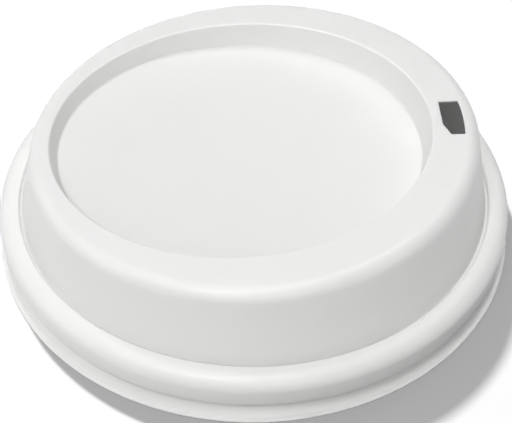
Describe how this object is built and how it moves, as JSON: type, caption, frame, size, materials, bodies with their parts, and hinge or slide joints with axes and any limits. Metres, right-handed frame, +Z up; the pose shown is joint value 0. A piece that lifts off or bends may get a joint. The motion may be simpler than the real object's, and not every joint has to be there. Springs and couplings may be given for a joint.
{
  "type": "coffee cup lid",
  "caption": "Round press-on lid for a takeaway cup, with an inclined drinking ring, an oval sunken well, a slot to drink from, a rim bead and a flared lip.",
  "frame": {"origin": "on the ground under the rim's centre, at the middle of the lid's base", "axes": "+Z up, out of the top of the lid; +X towards the drinking slot"},
  "size_m": [0.0936, 0.0936, 0.0227],
  "materials": {
    "white_plastic": "satin moulded white plastic"
  },
  "bodies": {
    "root": {"lid": "white_plastic"}
  },
  "joints": []
}
